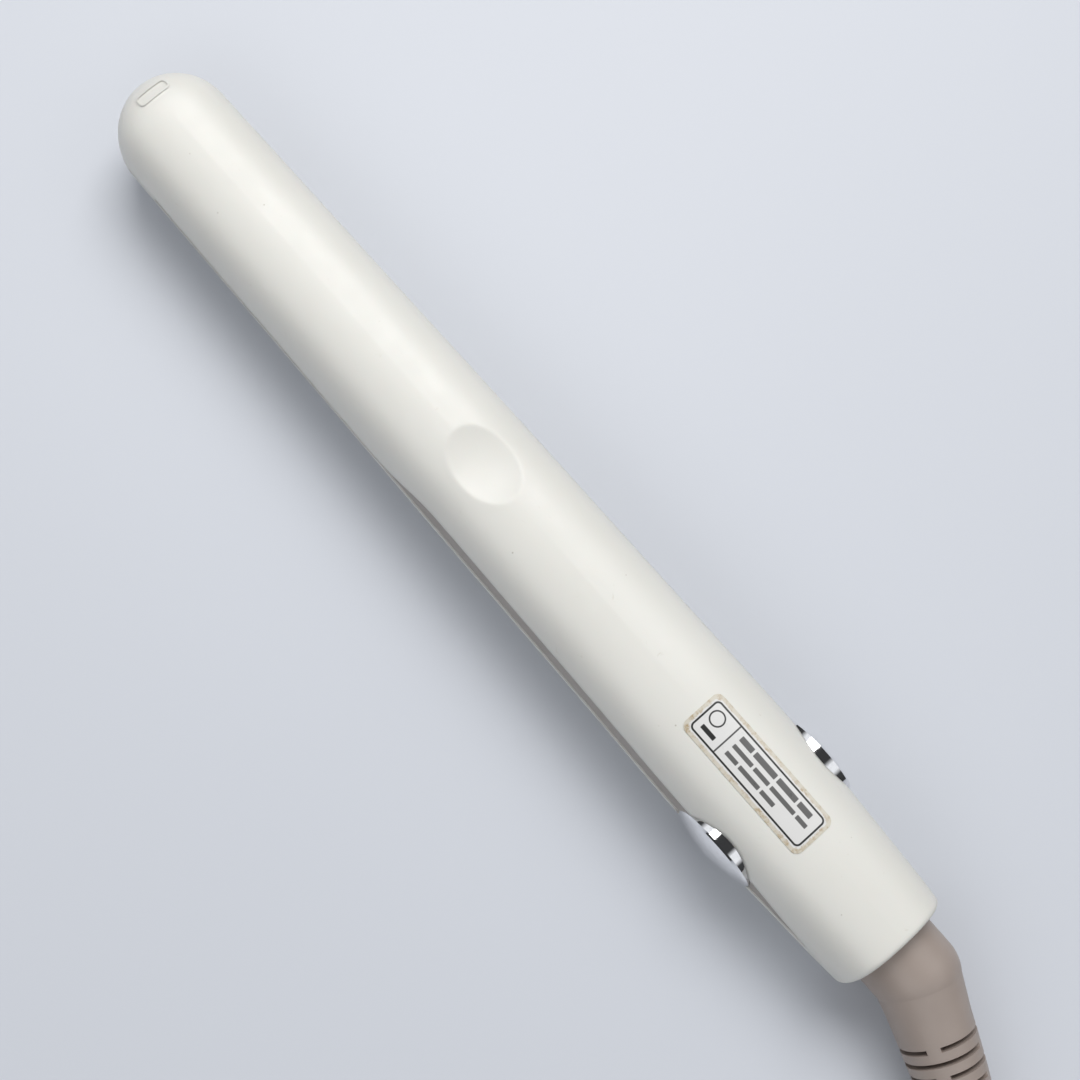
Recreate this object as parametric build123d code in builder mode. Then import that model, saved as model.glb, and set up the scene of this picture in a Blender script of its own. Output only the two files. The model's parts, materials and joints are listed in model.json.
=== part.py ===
"""Hair straightener (flat iron): two hinged arms with heated plates, lying closed on its lower arm.

Frame: +X towards the cord, +Y to the right-hand side seen from the tip, +Z up. The origin is at the
middle of the body's length and width, on the surface that the iron lies on. Millimetres.
"""
import math
import os

from build123d import *

os.makedirs("parts", exist_ok=True)

# ---------------------------------------------------------------- driving dimensions
body_length = 280.0
parting_z = 18.0  # height of the plane where the two closed arms meet
wall = 1.8  # shell thickness
fit = 0.1  # clearance between pieces that are fastened together
play = 0.4  # clearance between pieces that move past each other

# Half widths and half heights of the body where it is drawn.
nose_half_width, nose_half_height = 15.0, 15.6
plate_half_width, plate_half_height = 15.9, 17.1
grip_half_width, grip_rise, grip_drop = 16.7, 18.3, 18.4
hinge_half_width, hinge_rise, hinge_drop = 17.7, 19.0, 18.7
collar_half_width, collar_rise, collar_drop = 15.4, 17.4, 17.2
fullness = 0.68  # 0.55 draws an ellipse, 1.0 draws a square corner
rim_round = 1.3  # rounding of the rear rim

# Plates and what heats them.
plate_setback = 25.0  # from the tip to the plates
plate_length, plate_width, plate_thickness = 90.0, 24.0, 3.0
plate_gap = 0.3  # between the two plates when closed
plate_float = 0.8  # travel of the sprung lower plate
heater_length, heater_width, heater_thickness = 60.0, 12.0, 3.0
clamp_length, clamp_width, clamp_thickness = 76.0, 17.0, 5.0
mica_thickness = 0.5
frame_depth = 11.5
frame_floor = 1.0

# Seams between the shells.
nose_gap = 0.6  # between the two noses
rim_gap = 2.0  # between the two shells beside the plates
seam_gap = 0.5  # between the two shells along the handle
arch_rise = 7.0  # how far the upper shell's edge lifts along the handle
arch_length = 26.0
strip_end_height = 1.2  # what is left of the strip where it meets the collar

# Hinge.
hinge_setback = 45.0  # from the rear rim to the hinge axis
cap_radius, cap_rim, cap_dome = 12.3, 3.0, 1.8
cap_back_y = 14.6  # inner face of each hinge cap
ear_radius = 12.3  # upper arm's ears, behind the caps
upper_ear_thickness = 2.9
knuckle_radius, knuckle_wall, lower_ear_thickness = 11.5, 1.5, 2.0
pin_radius = 2.5
opening_angle = 22.0

# Tail, swivel and cord guard.
collar_length = 13.0
cover_overlap = 6.0  # how far the tail cover runs on below the collar
rear_wall = 2.5
neck_radius, neck_bore = 11.1, 11.9
neck_straight = 10.0
flange_radius, flange_thickness = 13.2, 3.0
spigot_radius, spigot_length = 8.0, 11.5
retainer_thickness = 5.0
elbow_angle, elbow_dip = 23.0, 28.0  # turn of the neck, and how far that turn leans downwards
guard_length = 60.0
guard_end_radius = 4.9
slot_count, slot_width, slot_pitch, slot_start = 9, 1.3, 3.7, 16.0
cord_radius = 3.25

# Details of the shells.
dimple_x, dimple_length, dimple_depth, dimple_side_radius = -11.2, 22.0, 1.8, 46.0
label_x, label_length, label_width, label_thickness = 87.0, 41.0, 12.5, 0.15
tip_mark_x, tip_mark_width, tip_mark_length, tip_mark_height = -133.2, 3.4, 9.0, 0.25
boss_radius, screw_radius, screw_length, screw_head_radius = 2.6, 0.95, 7.0, 2.0

# Controls.
button_x = {"power_button": 20.0, "temp_up_button": 36.0, "temp_down_button": 47.0}
button_radius = {"power_button": 3.6, "temp_up_button": 2.6, "temp_down_button": 2.6}
button_travel = 0.6
lead_radius, lead_y = 0.8, 7.6  # insulated leads, and where they pass the hinge
floor_thickness = 1.7
board_length, board_width, board_thickness, board_lift = 66.0, 22.0, 1.2, 6.0
lock_travel = 5.5
lock_length, lock_width = 14.0, 8.0

# Mains plug and stored cord.
hank_length, hank_turns_across, hank_layers = 125.0, 4.5, 3
hank_x = 228.0
tie_width, tie_thickness = 8.0, 1.0
plug_length, plug_width, plug_height = 28.0, 22.0, 16.0
plug_y = 17.0
blade_length, blade_width, blade_thickness, blade_spacing = 17.0, 6.3, 1.5, 12.7

# ---------------------------------------------------------------- derived places
tip_x = -body_length / 2
rear_x = body_length / 2
nose_x = tip_x + nose_half_width
plate_front_x = tip_x + plate_setback
plate_rear_x = plate_front_x + plate_length
plate_mid_x = (plate_front_x + plate_rear_x) / 2
frame_front_x = plate_front_x - 1.2
frame_rear_x = plate_rear_x + 1.2
arch_x = plate_rear_x - 9.0
cover_front_x = frame_rear_x + 0.4
hinge_x = rear_x - hinge_setback
collar_x = rear_x - collar_length
cover_end_x = collar_x + cover_overlap
seam_top = parting_z + seam_gap / 2 + 0.1
seam_bottom = parting_z - seam_gap / 2
arch_z = parting_z + arch_rise
floor_top = seam_top + floor_thickness
hinge_point = (hinge_x, 0, parting_z)
hinge_axis = Axis(hinge_point, (0, 1, 0))
board_front_x = -6.0
boss_places = [-12.0, 68.0]
nose_boss_x = nose_x - 2.0
nose_screw_z = nose_gap / 2 + 0.4  # screw head's distance from the parting plane
tail_screw_x, tail_screw_z = cover_end_x - 2.4, 0.9
turn = math.radians(elbow_angle)
dip = math.radians(elbow_dip)
elbow = Vector(rear_x + neck_straight, 0, parting_z)
guard_direction = Vector(math.cos(turn), -math.sin(turn) * math.cos(dip), -math.sin(turn) * math.sin(dip))
guard_end = elbow + guard_direction * guard_length
cord_d = 2 * cord_radius
hank_width = 2 * hank_turns_across * cord_d
hank_height = hank_layers * cord_d

section_pitch = 18.0  # spacing of the sections that the body is drawn through
drawn = [
    (nose_x, nose_half_width, nose_half_height, nose_half_height),
    (plate_mid_x + 10.0, plate_half_width, plate_half_height, plate_half_height + 0.1),
    (plate_rear_x + 20.0, grip_half_width, grip_rise, grip_drop),
    (hinge_x - 50.0, (grip_half_width + hinge_half_width) / 2, hinge_rise - 0.25, hinge_drop),
    (hinge_x - 10.0, hinge_half_width, hinge_rise, hinge_drop),
    (hinge_x + 18.0, hinge_half_width - 0.8, hinge_rise - 0.3, hinge_drop - 0.3),
    (rear_x, collar_half_width, collar_rise, collar_drop),
]


def slope(i, column):
    """How fast a size changes along the body at one of the drawn sections."""
    before, after = drawn[max(i - 1, 0)], drawn[min(i + 1, len(drawn) - 1)]
    return (after[column] - before[column]) / (after[0] - before[0])


def station(x):
    """The body's half width, rise and drop at x, on a smooth curve through the drawn sections."""
    i = max(k for k in range(len(drawn) - 1) if drawn[k][0] <= x or k == 0)
    left, right = drawn[i], drawn[i + 1]
    gap = right[0] - left[0]
    t = (x - left[0]) / gap
    sizes = [x]
    for column in (1, 2, 3):
        sizes.append(
            (2 * t**3 - 3 * t**2 + 1) * left[column]
            + (3 * t**2 - 2 * t**3) * right[column]
            + (t**3 - 2 * t**2 + t) * gap * slope(i, column)
            + (t**3 - t**2) * gap * slope(i + 1, column)
        )
    return sizes


section_count = round((rear_x - nose_x) / section_pitch)
stations = [station(nose_x + (rear_x - nose_x) * i / section_count) for i in range(section_count + 1)]


# ---------------------------------------------------------------- shapes that several pieces share
def quarter(half_width, height):
    """One quarter of the body's oval, from its side to its top or bottom."""
    return Bezier(
        (half_width, parting_z),
        (half_width, parting_z + fullness * height),
        (fullness * half_width, parting_z + height),
        (0, parting_z + height),
    )


def body_section(x, half_width, rise, drop):
    with BuildSketch(Plane.YZ.offset(x)) as section:
        with BuildLine():
            quarter(half_width, rise)
            quarter(-half_width, rise)
            quarter(-half_width, -drop)
            quarter(half_width, -drop)
        make_face()
    return section.sketch


def body_form(inset, end_inset=0.0, round_rim=False):
    """The closed body's outer form, moved inwards by inset."""
    with BuildPart() as form:
        sections = []
        for x, half_width, rise, drop in stations:
            x = min(x, rear_x - end_inset)
            sections.append(body_section(x, half_width - inset, rise - inset, drop - inset))
        loft(sections=sections)
        with BuildSketch(Plane.YZ.offset(nose_x)):
            with BuildLine():
                top = quarter(nose_half_width - inset, nose_half_height - inset)
                low = quarter(nose_half_width - inset, inset - nose_half_height)
                Line(top @ 1, low @ 1)
            make_face()
        revolve(axis=Axis((nose_x, 0, 0), (0, 0, 1)), revolution_arc=180)
        if round_rim:
            fillet(form.faces().sort_by(Axis.X)[-1].edges(), rim_round)
        split(bisect_by=Plane.XY.offset(inset), keep=Keep.TOP)
    return form.part


def slab(outline):
    """A side-view outline, extruded right across the body."""
    with BuildPart() as block:
        with BuildSketch(Plane.XZ):
            with BuildLine():
                outline()
            make_face()
        extrude(amount=40, both=True)
    return block.part


def at_angle(radius, degrees):
    """A point round the hinge axis in the side view, with 0 towards the cord and 90 up."""
    a = math.radians(degrees)
    return (hinge_x + radius * math.cos(a), parting_z + radius * math.sin(a))


def hinge_disc(radius, y_from, y_to):
    """A disc on the hinge axis, between two distances on one side of the middle."""
    low, high = sorted((y_from, y_to))
    with BuildPart() as disc:
        with BuildSketch(Plane((hinge_x, low, parting_z), z_dir=(0, 1, 0))):
            Circle(radius)
        extrude(amount=high - low)
    return disc.part


def box_between(x, y, z):
    """A box between pairs of limits."""
    with BuildPart() as block:
        with Locations(((x[0] + x[1]) / 2, (y[0] + y[1]) / 2, (z[0] + z[1]) / 2)):
            Box(x[1] - x[0], y[1] - y[0], z[1] - z[0])
    return block.part


def rod(x, y, z_from, z_to, radius):
    """An upright rod."""
    low, high = sorted((z_from, z_to))
    with BuildPart() as upright:
        with Locations((x, y, low)):
            Cylinder(radius, high - low, align=(Align.CENTER, Align.CENTER, Align.MIN))
    return upright.part


def wire(points, radius, bend):
    """A round lead along straight runs joined by arcs."""
    with BuildPart() as lead:
        with BuildLine() as path:
            FilletPolyline(*points, radius=bend)
        with BuildSketch(Plane(path.line @ 0, z_dir=path.line % 0)):
            Circle(radius)
        sweep()
    return lead.part


def save(piece, name):
    piece.label = name
    export_step(piece, f"parts/{name}.step")


outer_form = body_form(0.0, round_rim=True)
cavity = body_form(wall, end_inset=rear_wall)
liner_form = body_form(wall + fit, end_inset=rear_wall)


# ---------------------------------------------------------------- outlines of the shells, side view
def shell_edge():
    """The upper shell's edge from the nose to the collar."""
    rim_z = parting_z + rim_gap / 2
    nose_z = parting_z + nose_gap / 2
    Polyline((tip_x - 5, nose_z), (frame_front_x, nose_z), (frame_front_x, rim_z), (arch_x, rim_z))
    strip_edge()


def strip_edge():
    """The part of that edge that lifts over the handle and comes down to the collar."""
    Bezier(
        (arch_x, parting_z + rim_gap / 2),
        (arch_x + 0.45 * arch_length, parting_z + rim_gap / 2 + 0.3),
        (arch_x + 0.55 * arch_length, arch_z),
        (arch_x + arch_length, arch_z),
    )
    Line((arch_x + arch_length, arch_z), (hinge_x + 5.0, arch_z))
    Bezier(
        (hinge_x + 5.0, arch_z),
        (hinge_x + 16.0, arch_z),
        (collar_x - 8.0, seam_top + 2.2),
        (collar_x, seam_top + strip_end_height),
    )
    Line((collar_x, seam_top + strip_end_height), (collar_x, seam_top))


def upper_outline():
    shell_edge()
    Polyline((collar_x, seam_top), (cover_end_x, seam_top), (cover_end_x, -5), (rear_x + 5, -5),
             (rear_x + 5, 60), (tip_x - 5, 60), (tip_x - 5, parting_z + nose_gap / 2))


def strip_outline():
    strip_edge()
    Polyline((collar_x, seam_top), (arch_x, seam_top), (arch_x, parting_z + rim_gap / 2))


def lower_outline():
    rim_z = parting_z - rim_gap / 2
    nose_z = parting_z - nose_gap / 2
    end_radius = ear_radius + play
    start = 180 + math.degrees(math.asin((parting_z - seam_bottom) / end_radius))
    stop = 270 - opening_angle - 2
    Polyline((tip_x - 5, -5), (tip_x - 5, nose_z), (frame_front_x, nose_z), (frame_front_x, rim_z),
             (arch_x, rim_z), (arch_x + 3, seam_bottom), at_angle(end_radius, start))
    ThreePointArc(at_angle(end_radius, start), at_angle(end_radius, (start + stop) / 2),
                  at_angle(end_radius, stop))
    Polyline(at_angle(end_radius, stop), at_angle(30, stop), (tip_x - 5, -20), (tip_x - 5, -5))


def tail_outline():
    inner = ear_radius + fit
    start = -math.degrees(math.asin((parting_z - seam_top) / inner))
    ThreePointArc(at_angle(inner, start), at_angle(inner, -45), at_angle(inner, -90))
    Polyline(at_angle(inner, -90), (hinge_x, -5), (cover_end_x, -5), (cover_end_x, seam_top),
             at_angle(inner, start))


# ---------------------------------------------------------------- upper arm: shell and covers
dimple_radius = dimple_length**2 / 8 / dimple_depth
dimple_top = parting_z + station(dimple_x)[2]
dimple_floor = dimple_top - dimple_depth

# Pad that backs the thumb dimple, and bosses for the screws.
with BuildPart() as upper_backing:
    with BuildSketch(Plane.XY.offset(dimple_floor - wall)):
        with Locations((dimple_x, 0)):
            Ellipse(dimple_length / 2 + 2.5, 11.0)
    extrude(amount=15)
    for x in boss_places:
        add(rod(x, 0, floor_top + fit, parting_z + 25, boss_radius))
    add(rod(nose_boss_x, 0, parting_z + 3.0 + fit, parting_z + 20, boss_radius))
    add(outer_form, mode=Mode.INTERSECT)
    for x, z in [(x, floor_top) for x in boss_places] + [(nose_boss_x, parting_z + 3.0)]:
        add(rod(x, 0, z - 1, z + screw_length, screw_radius + 0.05), mode=Mode.SUBTRACT)

# Raised rounded outline on the tip.
with BuildPart() as tip_mark:
    with BuildSketch(Plane.XY.offset(parting_z + 2)):
        with Locations((tip_mark_x, 0)):
            RectangleRounded(tip_mark_width, tip_mark_length, 1.2)
            RectangleRounded(tip_mark_width - 0.9, tip_mark_length - 0.9, 0.8, mode=Mode.SUBTRACT)
    extrude(amount=30)
    add(body_form(-tip_mark_height), mode=Mode.INTERSECT)
    add(body_form(wall / 2), mode=Mode.SUBTRACT)

with BuildPart() as upper_shell:
    add(outer_form)
    add(slab(upper_outline), mode=Mode.INTERSECT)
    add(cavity, mode=Mode.SUBTRACT)
    add(upper_backing.part)
    add(tip_mark.part)
    # Thumb dimple: a barrel-shaped hollow.
    with BuildSketch(Plane.XZ):
        with BuildLine():
            half = dimple_length / 2 + 6
            edge_z = dimple_floor + dimple_radius - math.sqrt(dimple_radius**2 - half**2)
            ThreePointArc((dimple_x - half, edge_z), (dimple_x, dimple_floor), (dimple_x + half, edge_z))
            Polyline((dimple_x + half, edge_z), (dimple_x + half, dimple_floor + 12),
                     (dimple_x - half, dimple_floor + 12), (dimple_x - half, edge_z))
        make_face()
    revolve(axis=Axis((0, 0, dimple_floor + dimple_side_radius), (1, 0, 0)), mode=Mode.SUBTRACT)
    # Openings for the hinge ears and caps, and for the cord guard's neck.
    for side in (1, -1):
        reach = cap_back_y - upper_ear_thickness - fit
        add(hinge_disc(cap_radius + fit, side * reach, side * 25), mode=Mode.SUBTRACT)
    with BuildSketch(Plane.YZ.offset(rear_x - rear_wall - 1)):
        with Locations((0, parting_z)):
            Circle(neck_bore)
    extrude(amount=rear_wall + 3, mode=Mode.SUBTRACT)
save(upper_shell.part, "upper_shell")

floor_end = hinge_x - knuckle_radius - 1.0
with BuildPart() as cover_room:
    add(cavity)
    add(box_between((cover_front_x, floor_end), (-30, 30), (0, floor_top)), mode=Mode.SUBTRACT)
    # Blocks that carry the hinge ears.
    ear_inner_y = cap_back_y - upper_ear_thickness
    for side in (1, -1):
        block_x = (hinge_x - ear_radius - 2.0, hinge_x + ear_radius + 2.0)
        block_y = sorted((side * ear_inner_y, side * 30))
        add(box_between(block_x, block_y, (0, 60)), mode=Mode.SUBTRACT)

# Taupe inner cover of the upper arm: side walls that show under the shell's edge, a floor that
# carries the controls, and the two outer ears of the hinge.
with BuildPart() as upper_inner_cover:
    add(body_form(0.25))
    add(slab(strip_outline), mode=Mode.INTERSECT)
    add(cover_room.part, mode=Mode.SUBTRACT)
    for side in (1, -1):
        add(hinge_disc(cap_radius + fit, side * cap_back_y, side * 25), mode=Mode.SUBTRACT)
        add(hinge_disc(ear_radius, side * ear_inner_y, side * cap_back_y))
    add(hinge_disc(pin_radius, -25, 25), mode=Mode.SUBTRACT)
    for name, x in button_x.items():
        add(rod(x, 0, 0, floor_top + 1, button_radius[name] + 0.3), mode=Mode.SUBTRACT)
    add(box_between((54.0, 62.0), (-2.5, 2.5), (0, floor_top + 1)), mode=Mode.SUBTRACT)
    for x in boss_places:
        add(rod(x, 0, 0, floor_top + 1, screw_radius + 0.15), mode=Mode.SUBTRACT)
        add(rod(x, 0, 0, seam_top + 0.8, screw_head_radius + 0.15), mode=Mode.SUBTRACT)
save(upper_inner_cover.part, "upper_inner_cover")

# Lower half of the tail, screwed under the collar.
with BuildPart() as tail_cover:
    add(outer_form)
    add(slab(tail_outline), mode=Mode.INTERSECT)
    add(cavity, mode=Mode.SUBTRACT)
    add(box_between((hinge_x, hinge_x + 2.0), (-12.0, 12.0), (3.6, parting_z - 13.0)))
    for side in (1, -1):
        add(hinge_disc(ear_radius + fit, side * 9.0, side * 25), mode=Mode.SUBTRACT)
    lock_slot_x = (hinge_x + 2.6, hinge_x + 2.6 + lock_length + lock_travel + 2 * play)
    lock_slot_y = (-lock_width / 2 - play, lock_width / 2 + play)
    add(box_between(lock_slot_x, lock_slot_y, (-1, 3)), mode=Mode.SUBTRACT)
    add(box_between((hinge_x - 1, hinge_x + 4), (-3.3, 3.3), (-1, 3.0)), mode=Mode.SUBTRACT)
    add(rod(tail_screw_x, 0, -1, 6, screw_radius + 0.15), mode=Mode.SUBTRACT)
    add(rod(tail_screw_x, 0, -1, tail_screw_z + 0.8, screw_head_radius + 0.15), mode=Mode.SUBTRACT)
save(tail_cover.part, "tail_cover")

# ---------------------------------------------------------------- lower arm: shell and covers
lower_floor_top = seam_bottom - 0.3
lower_floor_low = lower_floor_top - floor_thickness
with BuildPart() as lower_bosses:
    for x in boss_places:
        add(rod(x, 0, 0, lower_floor_low - fit, boss_radius))
    add(rod(nose_boss_x, 0, 0, parting_z - 3.0 - fit, boss_radius))
    add(outer_form, mode=Mode.INTERSECT)
    for x, z in [(x, lower_floor_low) for x in boss_places] + [(nose_boss_x, parting_z - 3.0)]:
        add(rod(x, 0, z + 1, z - screw_length, screw_radius + 0.05), mode=Mode.SUBTRACT)

with BuildPart() as lower_shell:
    add(outer_form)
    add(slab(lower_outline), mode=Mode.INTERSECT)
    add(cavity, mode=Mode.SUBTRACT)
    add(lower_bosses.part)
save(lower_shell.part, "lower_shell")

ear_outer_y = cap_back_y - upper_ear_thickness - play
with BuildPart() as barrel:
    add(hinge_disc(knuckle_radius, -ear_outer_y, ear_outer_y))
    add(hinge_disc(knuckle_radius - knuckle_wall, -ear_outer_y, ear_outer_y), mode=Mode.SUBTRACT)
    with BuildSketch(Plane.XZ):
        with BuildLine():
            Polyline((hinge_x, parting_z), at_angle(30, 176), at_angle(30, 240), at_angle(30, 300),
                     (hinge_x, parting_z))
        make_face()
    extrude(amount=40, both=True, mode=Mode.INTERSECT)
    for side in (1, -1):
        with Locations((hinge_x - 10, side * lead_y, parting_z - 5)):
            Box(10, 2.6, 4, mode=Mode.SUBTRACT)

# Taupe inner cover of the lower arm: a floor, and the barrel and two ears that turn on the pin.
with BuildPart() as lower_inner_cover:
    add(liner_form)
    floor_x = (cover_front_x, hinge_x - knuckle_radius + 1.5)
    add(box_between(floor_x, (-30, 30), (lower_floor_low, lower_floor_top)), mode=Mode.INTERSECT)
    for side in (1, -1):
        add(hinge_disc(ear_radius + play, side * ear_outer_y, side * 25), mode=Mode.SUBTRACT)
        add(hinge_disc(knuckle_radius, side * (ear_outer_y - lower_ear_thickness), side * ear_outer_y))
    add(barrel.part)
    add(hinge_disc(pin_radius + 0.05, -25, 25), mode=Mode.SUBTRACT)
    for x in boss_places:
        add(rod(x, 0, lower_floor_low - 1, parting_z + 1, screw_radius + 0.15), mode=Mode.SUBTRACT)
        add(rod(x, 0, lower_floor_top - 0.8, parting_z + 1, screw_head_radius + 0.15), mode=Mode.SUBTRACT)
save(lower_inner_cover.part, "lower_inner_cover")


# ---------------------------------------------------------------- plates and heating
def lift(side, z):
    """The height of something z away from the parting plane, in the upper (1) or lower (-1) arm."""
    return parting_z + side * z


def layer(side, x, half_width, z_from, z_to):
    z_low, z_high = sorted((lift(side, z_from), lift(side, z_to)))
    return box_between(x, (-half_width, half_width), (z_low, z_high))


plate_face = plate_gap / 2
plate_back = plate_face + plate_thickness
heater_back = plate_back + heater_thickness
clamp_back = plate_back + clamp_thickness
mica_back = clamp_back + mica_thickness
heater_x = (plate_mid_x - heater_length / 2, plate_mid_x + heater_length / 2)
clamp_x = (plate_mid_x - clamp_length / 2, plate_mid_x + clamp_length / 2)
pocket_x = (clamp_x[0] - 2.5, plate_rear_x)


def plate_frame(side):
    """Heat-resistant frame round a plate, closing the arm's nose in front of it."""
    with BuildPart() as frame:
        add(liner_form)

        def outline():
            Polyline(
                (tip_x - 5, lift(side, nose_gap / 2 + 0.1)), (frame_front_x, lift(side, nose_gap / 2 + 0.1)),
                (frame_front_x, lift(side, rim_gap / 2)), (frame_rear_x, lift(side, rim_gap / 2)),
                (frame_rear_x, lift(side, frame_depth)), (frame_front_x, lift(side, frame_depth)),
                (frame_front_x, lift(side, 3.0)), (tip_x - 5, lift(side, 3.0)),
                (tip_x - 5, lift(side, nose_gap / 2 + 0.1)),
            )

        add(slab(outline), mode=Mode.INTERSECT)
        room = plate_back + plate_float + 0.2
        plate_x = (plate_front_x - play, plate_rear_x + play)
        add(layer(side, plate_x, plate_width / 2 + 0.3, -1, room), mode=Mode.SUBTRACT)
        add(layer(side, pocket_x, 9.4, room - 0.5, frame_depth - frame_floor), mode=Mode.SUBTRACT)
        add(rod(nose_boss_x, 0, lift(side, 0), lift(side, 5), screw_radius + 0.15), mode=Mode.SUBTRACT)
        head_z = lift(side, nose_screw_z + 0.8)
        add(rod(nose_boss_x, 0, parting_z, head_z, screw_head_radius + 0.15), mode=Mode.SUBTRACT)
        add(layer(side, (frame_rear_x - 3, frame_rear_x + 1), 4.2, room - 0.5, 8.0), mode=Mode.SUBTRACT)
    return frame.part


def plate(side):
    with BuildPart() as hot_plate:
        with BuildSketch(Plane.YZ.offset(plate_front_x)):
            with Locations((0, lift(side, (plate_face + plate_back) / 2))):
                Rectangle(plate_width, plate_thickness)
        extrude(amount=plate_length)
        long_edges = hot_plate.edges().filter_by(Axis.X)
        face_edges = long_edges.sort_by(Axis.Z)[:2] if side > 0 else long_edges.sort_by(Axis.Z)[-2:]
        fillet(face_edges, 1.0)
    return hot_plate.part


def heater(side):
    with BuildPart() as element:
        add(layer(side, heater_x, heater_width / 2, plate_back, heater_back))
        for y in (-3.0, 3.0):
            z_low, z_high = sorted((lift(side, plate_back + 1.65), lift(side, plate_back + 2.25)))
            add(box_between((heater_x[1], heater_x[1] + 3.0), (y - 1.2, y + 1.2), (z_low, z_high)))
    return element.part


def clamp(side):
    with BuildPart() as holder:
        add(layer(side, clamp_x, clamp_width / 2, plate_back, clamp_back))
        pocket = (heater_x[0] - fit, clamp_x[1] + 1)
        half_width = heater_width / 2 + fit
        add(layer(side, pocket, half_width, plate_back - 1, heater_back + fit), mode=Mode.SUBTRACT)
    return holder.part


def mica(side):
    return layer(side, (clamp_x[0] + 2, clamp_x[1] - 2), clamp_width / 2, clamp_back, mica_back)


def sensor(side):
    """Thermistor bead with its two leads, on the back of a plate behind the clamp."""
    with BuildPart() as bead:
        with Locations((clamp_x[1] + 2.2, 6.6, lift(side, plate_back + 1.1))):
            Sphere(1.1)
        for y in (6.1, 7.1):
            with Locations((clamp_x[1] + 3.9, y, lift(side, plate_back + 1.1))):
                Cylinder(0.3, 3.4, rotation=(0, 90, 0))
    return bead.part


save(plate_frame(1), "upper_plate_frame")
save(plate(1), "upper_plate")
save(heater(1), "upper_heater")
save(clamp(1), "upper_heater_clamp")
save(mica(1), "upper_mica_sheet")
save(sensor(1), "temperature_sensor")
save(plate_frame(-1), "lower_plate_frame")
save(plate(-1), "lower_plate")
save(heater(-1), "lower_heater")
save(clamp(-1), "lower_heater_clamp")
save(mica(-1), "lower_mica_sheet")

with BuildPart() as thermal_fuse:
    with Locations((clamp_x[1] + 3.0, 0, lift(1, frame_depth - frame_floor - 1.6))):
        Cylinder(1.5, 9.0, rotation=(90, 0, 0))
        Cylinder(0.4, 13.0, rotation=(90, 0, 0))
save(thermal_fuse.part, "thermal_fuse")

# Silicone pads that press the floating plate outwards.
with BuildPart() as plate_cushions:
    for x in (clamp_x[0] + 10, clamp_x[1] - 10):
        z_low, z_high = lift(-1, frame_depth - frame_floor), lift(-1, mica_back)
        add(box_between((x - 5, x + 5), (-5, 5), (z_low, z_high)))
save(plate_cushions.part, "plate_cushions")


# ---------------------------------------------------------------- hinge
with BuildPart() as hinge_pin:
    add(hinge_disc(pin_radius, -cap_back_y, cap_back_y))
    add(hinge_disc(1.5, -cap_back_y, 4 - cap_back_y), mode=Mode.SUBTRACT)
    add(hinge_disc(1.5, cap_back_y - 4, cap_back_y), mode=Mode.SUBTRACT)
save(hinge_pin.part, "hinge_pin")


def hinge_cap(side):
    """Domed metal cap, with a spigot in the end of the pin."""
    rim_y = cap_back_y + cap_rim
    with BuildPart() as cap:
        with BuildSketch(Plane.XY.offset(parting_z)):
            with BuildLine():
                Polyline(
                    (hinge_x, side * (cap_back_y - 3)), (hinge_x + 1.45, side * (cap_back_y - 3)),
                    (hinge_x + 1.45, side * cap_back_y), (hinge_x + cap_radius, side * cap_back_y),
                    (hinge_x + cap_radius, side * (rim_y - 0.5)),
                    (hinge_x + cap_radius - 0.5, side * rim_y),
                )
                TangentArc((hinge_x, side * (rim_y + cap_dome)), (hinge_x + cap_radius - 0.5, side * rim_y),
                           tangent=(1, 0))
                Line((hinge_x, side * (rim_y + cap_dome)), (hinge_x, side * (cap_back_y - 3)))
            make_face()
        revolve(axis=hinge_axis)
    return cap.part


save(hinge_cap(-1), "hinge_cap_left")
save(hinge_cap(1), "hinge_cap_right")

# Torsion spring wound on the pin, one leg in each arm.
spring_wire, spring_radius, spring_pitch, spring_turns, spring_leg = 0.6, 4.1, 1.8, 5, 6.5
with BuildPart() as hinge_spring:
    span = spring_pitch * spring_turns
    with BuildLine() as coil:
        Helix(spring_pitch, span, spring_radius, center=(hinge_x, -span / 2, parting_z), direction=(0, 1, 0))
    with BuildSketch(Plane(coil.line @ 0, z_dir=coil.line % 0)):
        Circle(spring_wire)
    sweep(is_frenet=True)
    for end, way in ((coil.line @ 0, -(coil.line % 0)), (coil.line @ 1, coil.line % 1)):
        with BuildSketch(Plane(end, z_dir=way)):
            Circle(spring_wire)
        extrude(amount=spring_leg)
save(hinge_spring.part, "hinge_spring")

# ---------------------------------------------------------------- controls in the upper handle
board_low = parting_z + board_lift
board_high = board_low + board_thickness
board_rear_x = board_front_x + board_length
with BuildPart() as circuit_board:
    with Locations(((board_front_x + board_rear_x) / 2, 0, (board_low + board_high) / 2)):
        Box(board_length, board_width, board_thickness)
save(circuit_board.part, "circuit_board")

switch_height = 2.1
with BuildPart() as push_switches:
    for x in button_x.values():
        with Locations((x, 0, board_low - switch_height / 2)):
            Box(4.5, 4.5, switch_height)
save(push_switches.part, "push_switches")

with BuildPart() as board_components:
    with Locations((6, -4.5, board_high + 3.5)):
        Box(9, 8, 7)
    with Locations((20, 5, board_high + 4.0)):
        Cylinder(3.1, 8)
    with Locations((30, -5, board_high + 1.0)):
        Box(8, 6, 2)
    with Locations((40, 4, board_high + 2.5)):
        Box(10, 5, 5)
    with Locations((52, -4, board_high + 0.8), (52, 4, board_high + 0.8)):
        Box(3, 2, 1.6)
save(board_components.part, "board_components")

with BuildPart() as indicator_window:
    add(box_between((54.1, 61.9), (-2.4, 2.4), (seam_top + 0.1, floor_top)))
save(indicator_window.part, "indicator_window")

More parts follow.
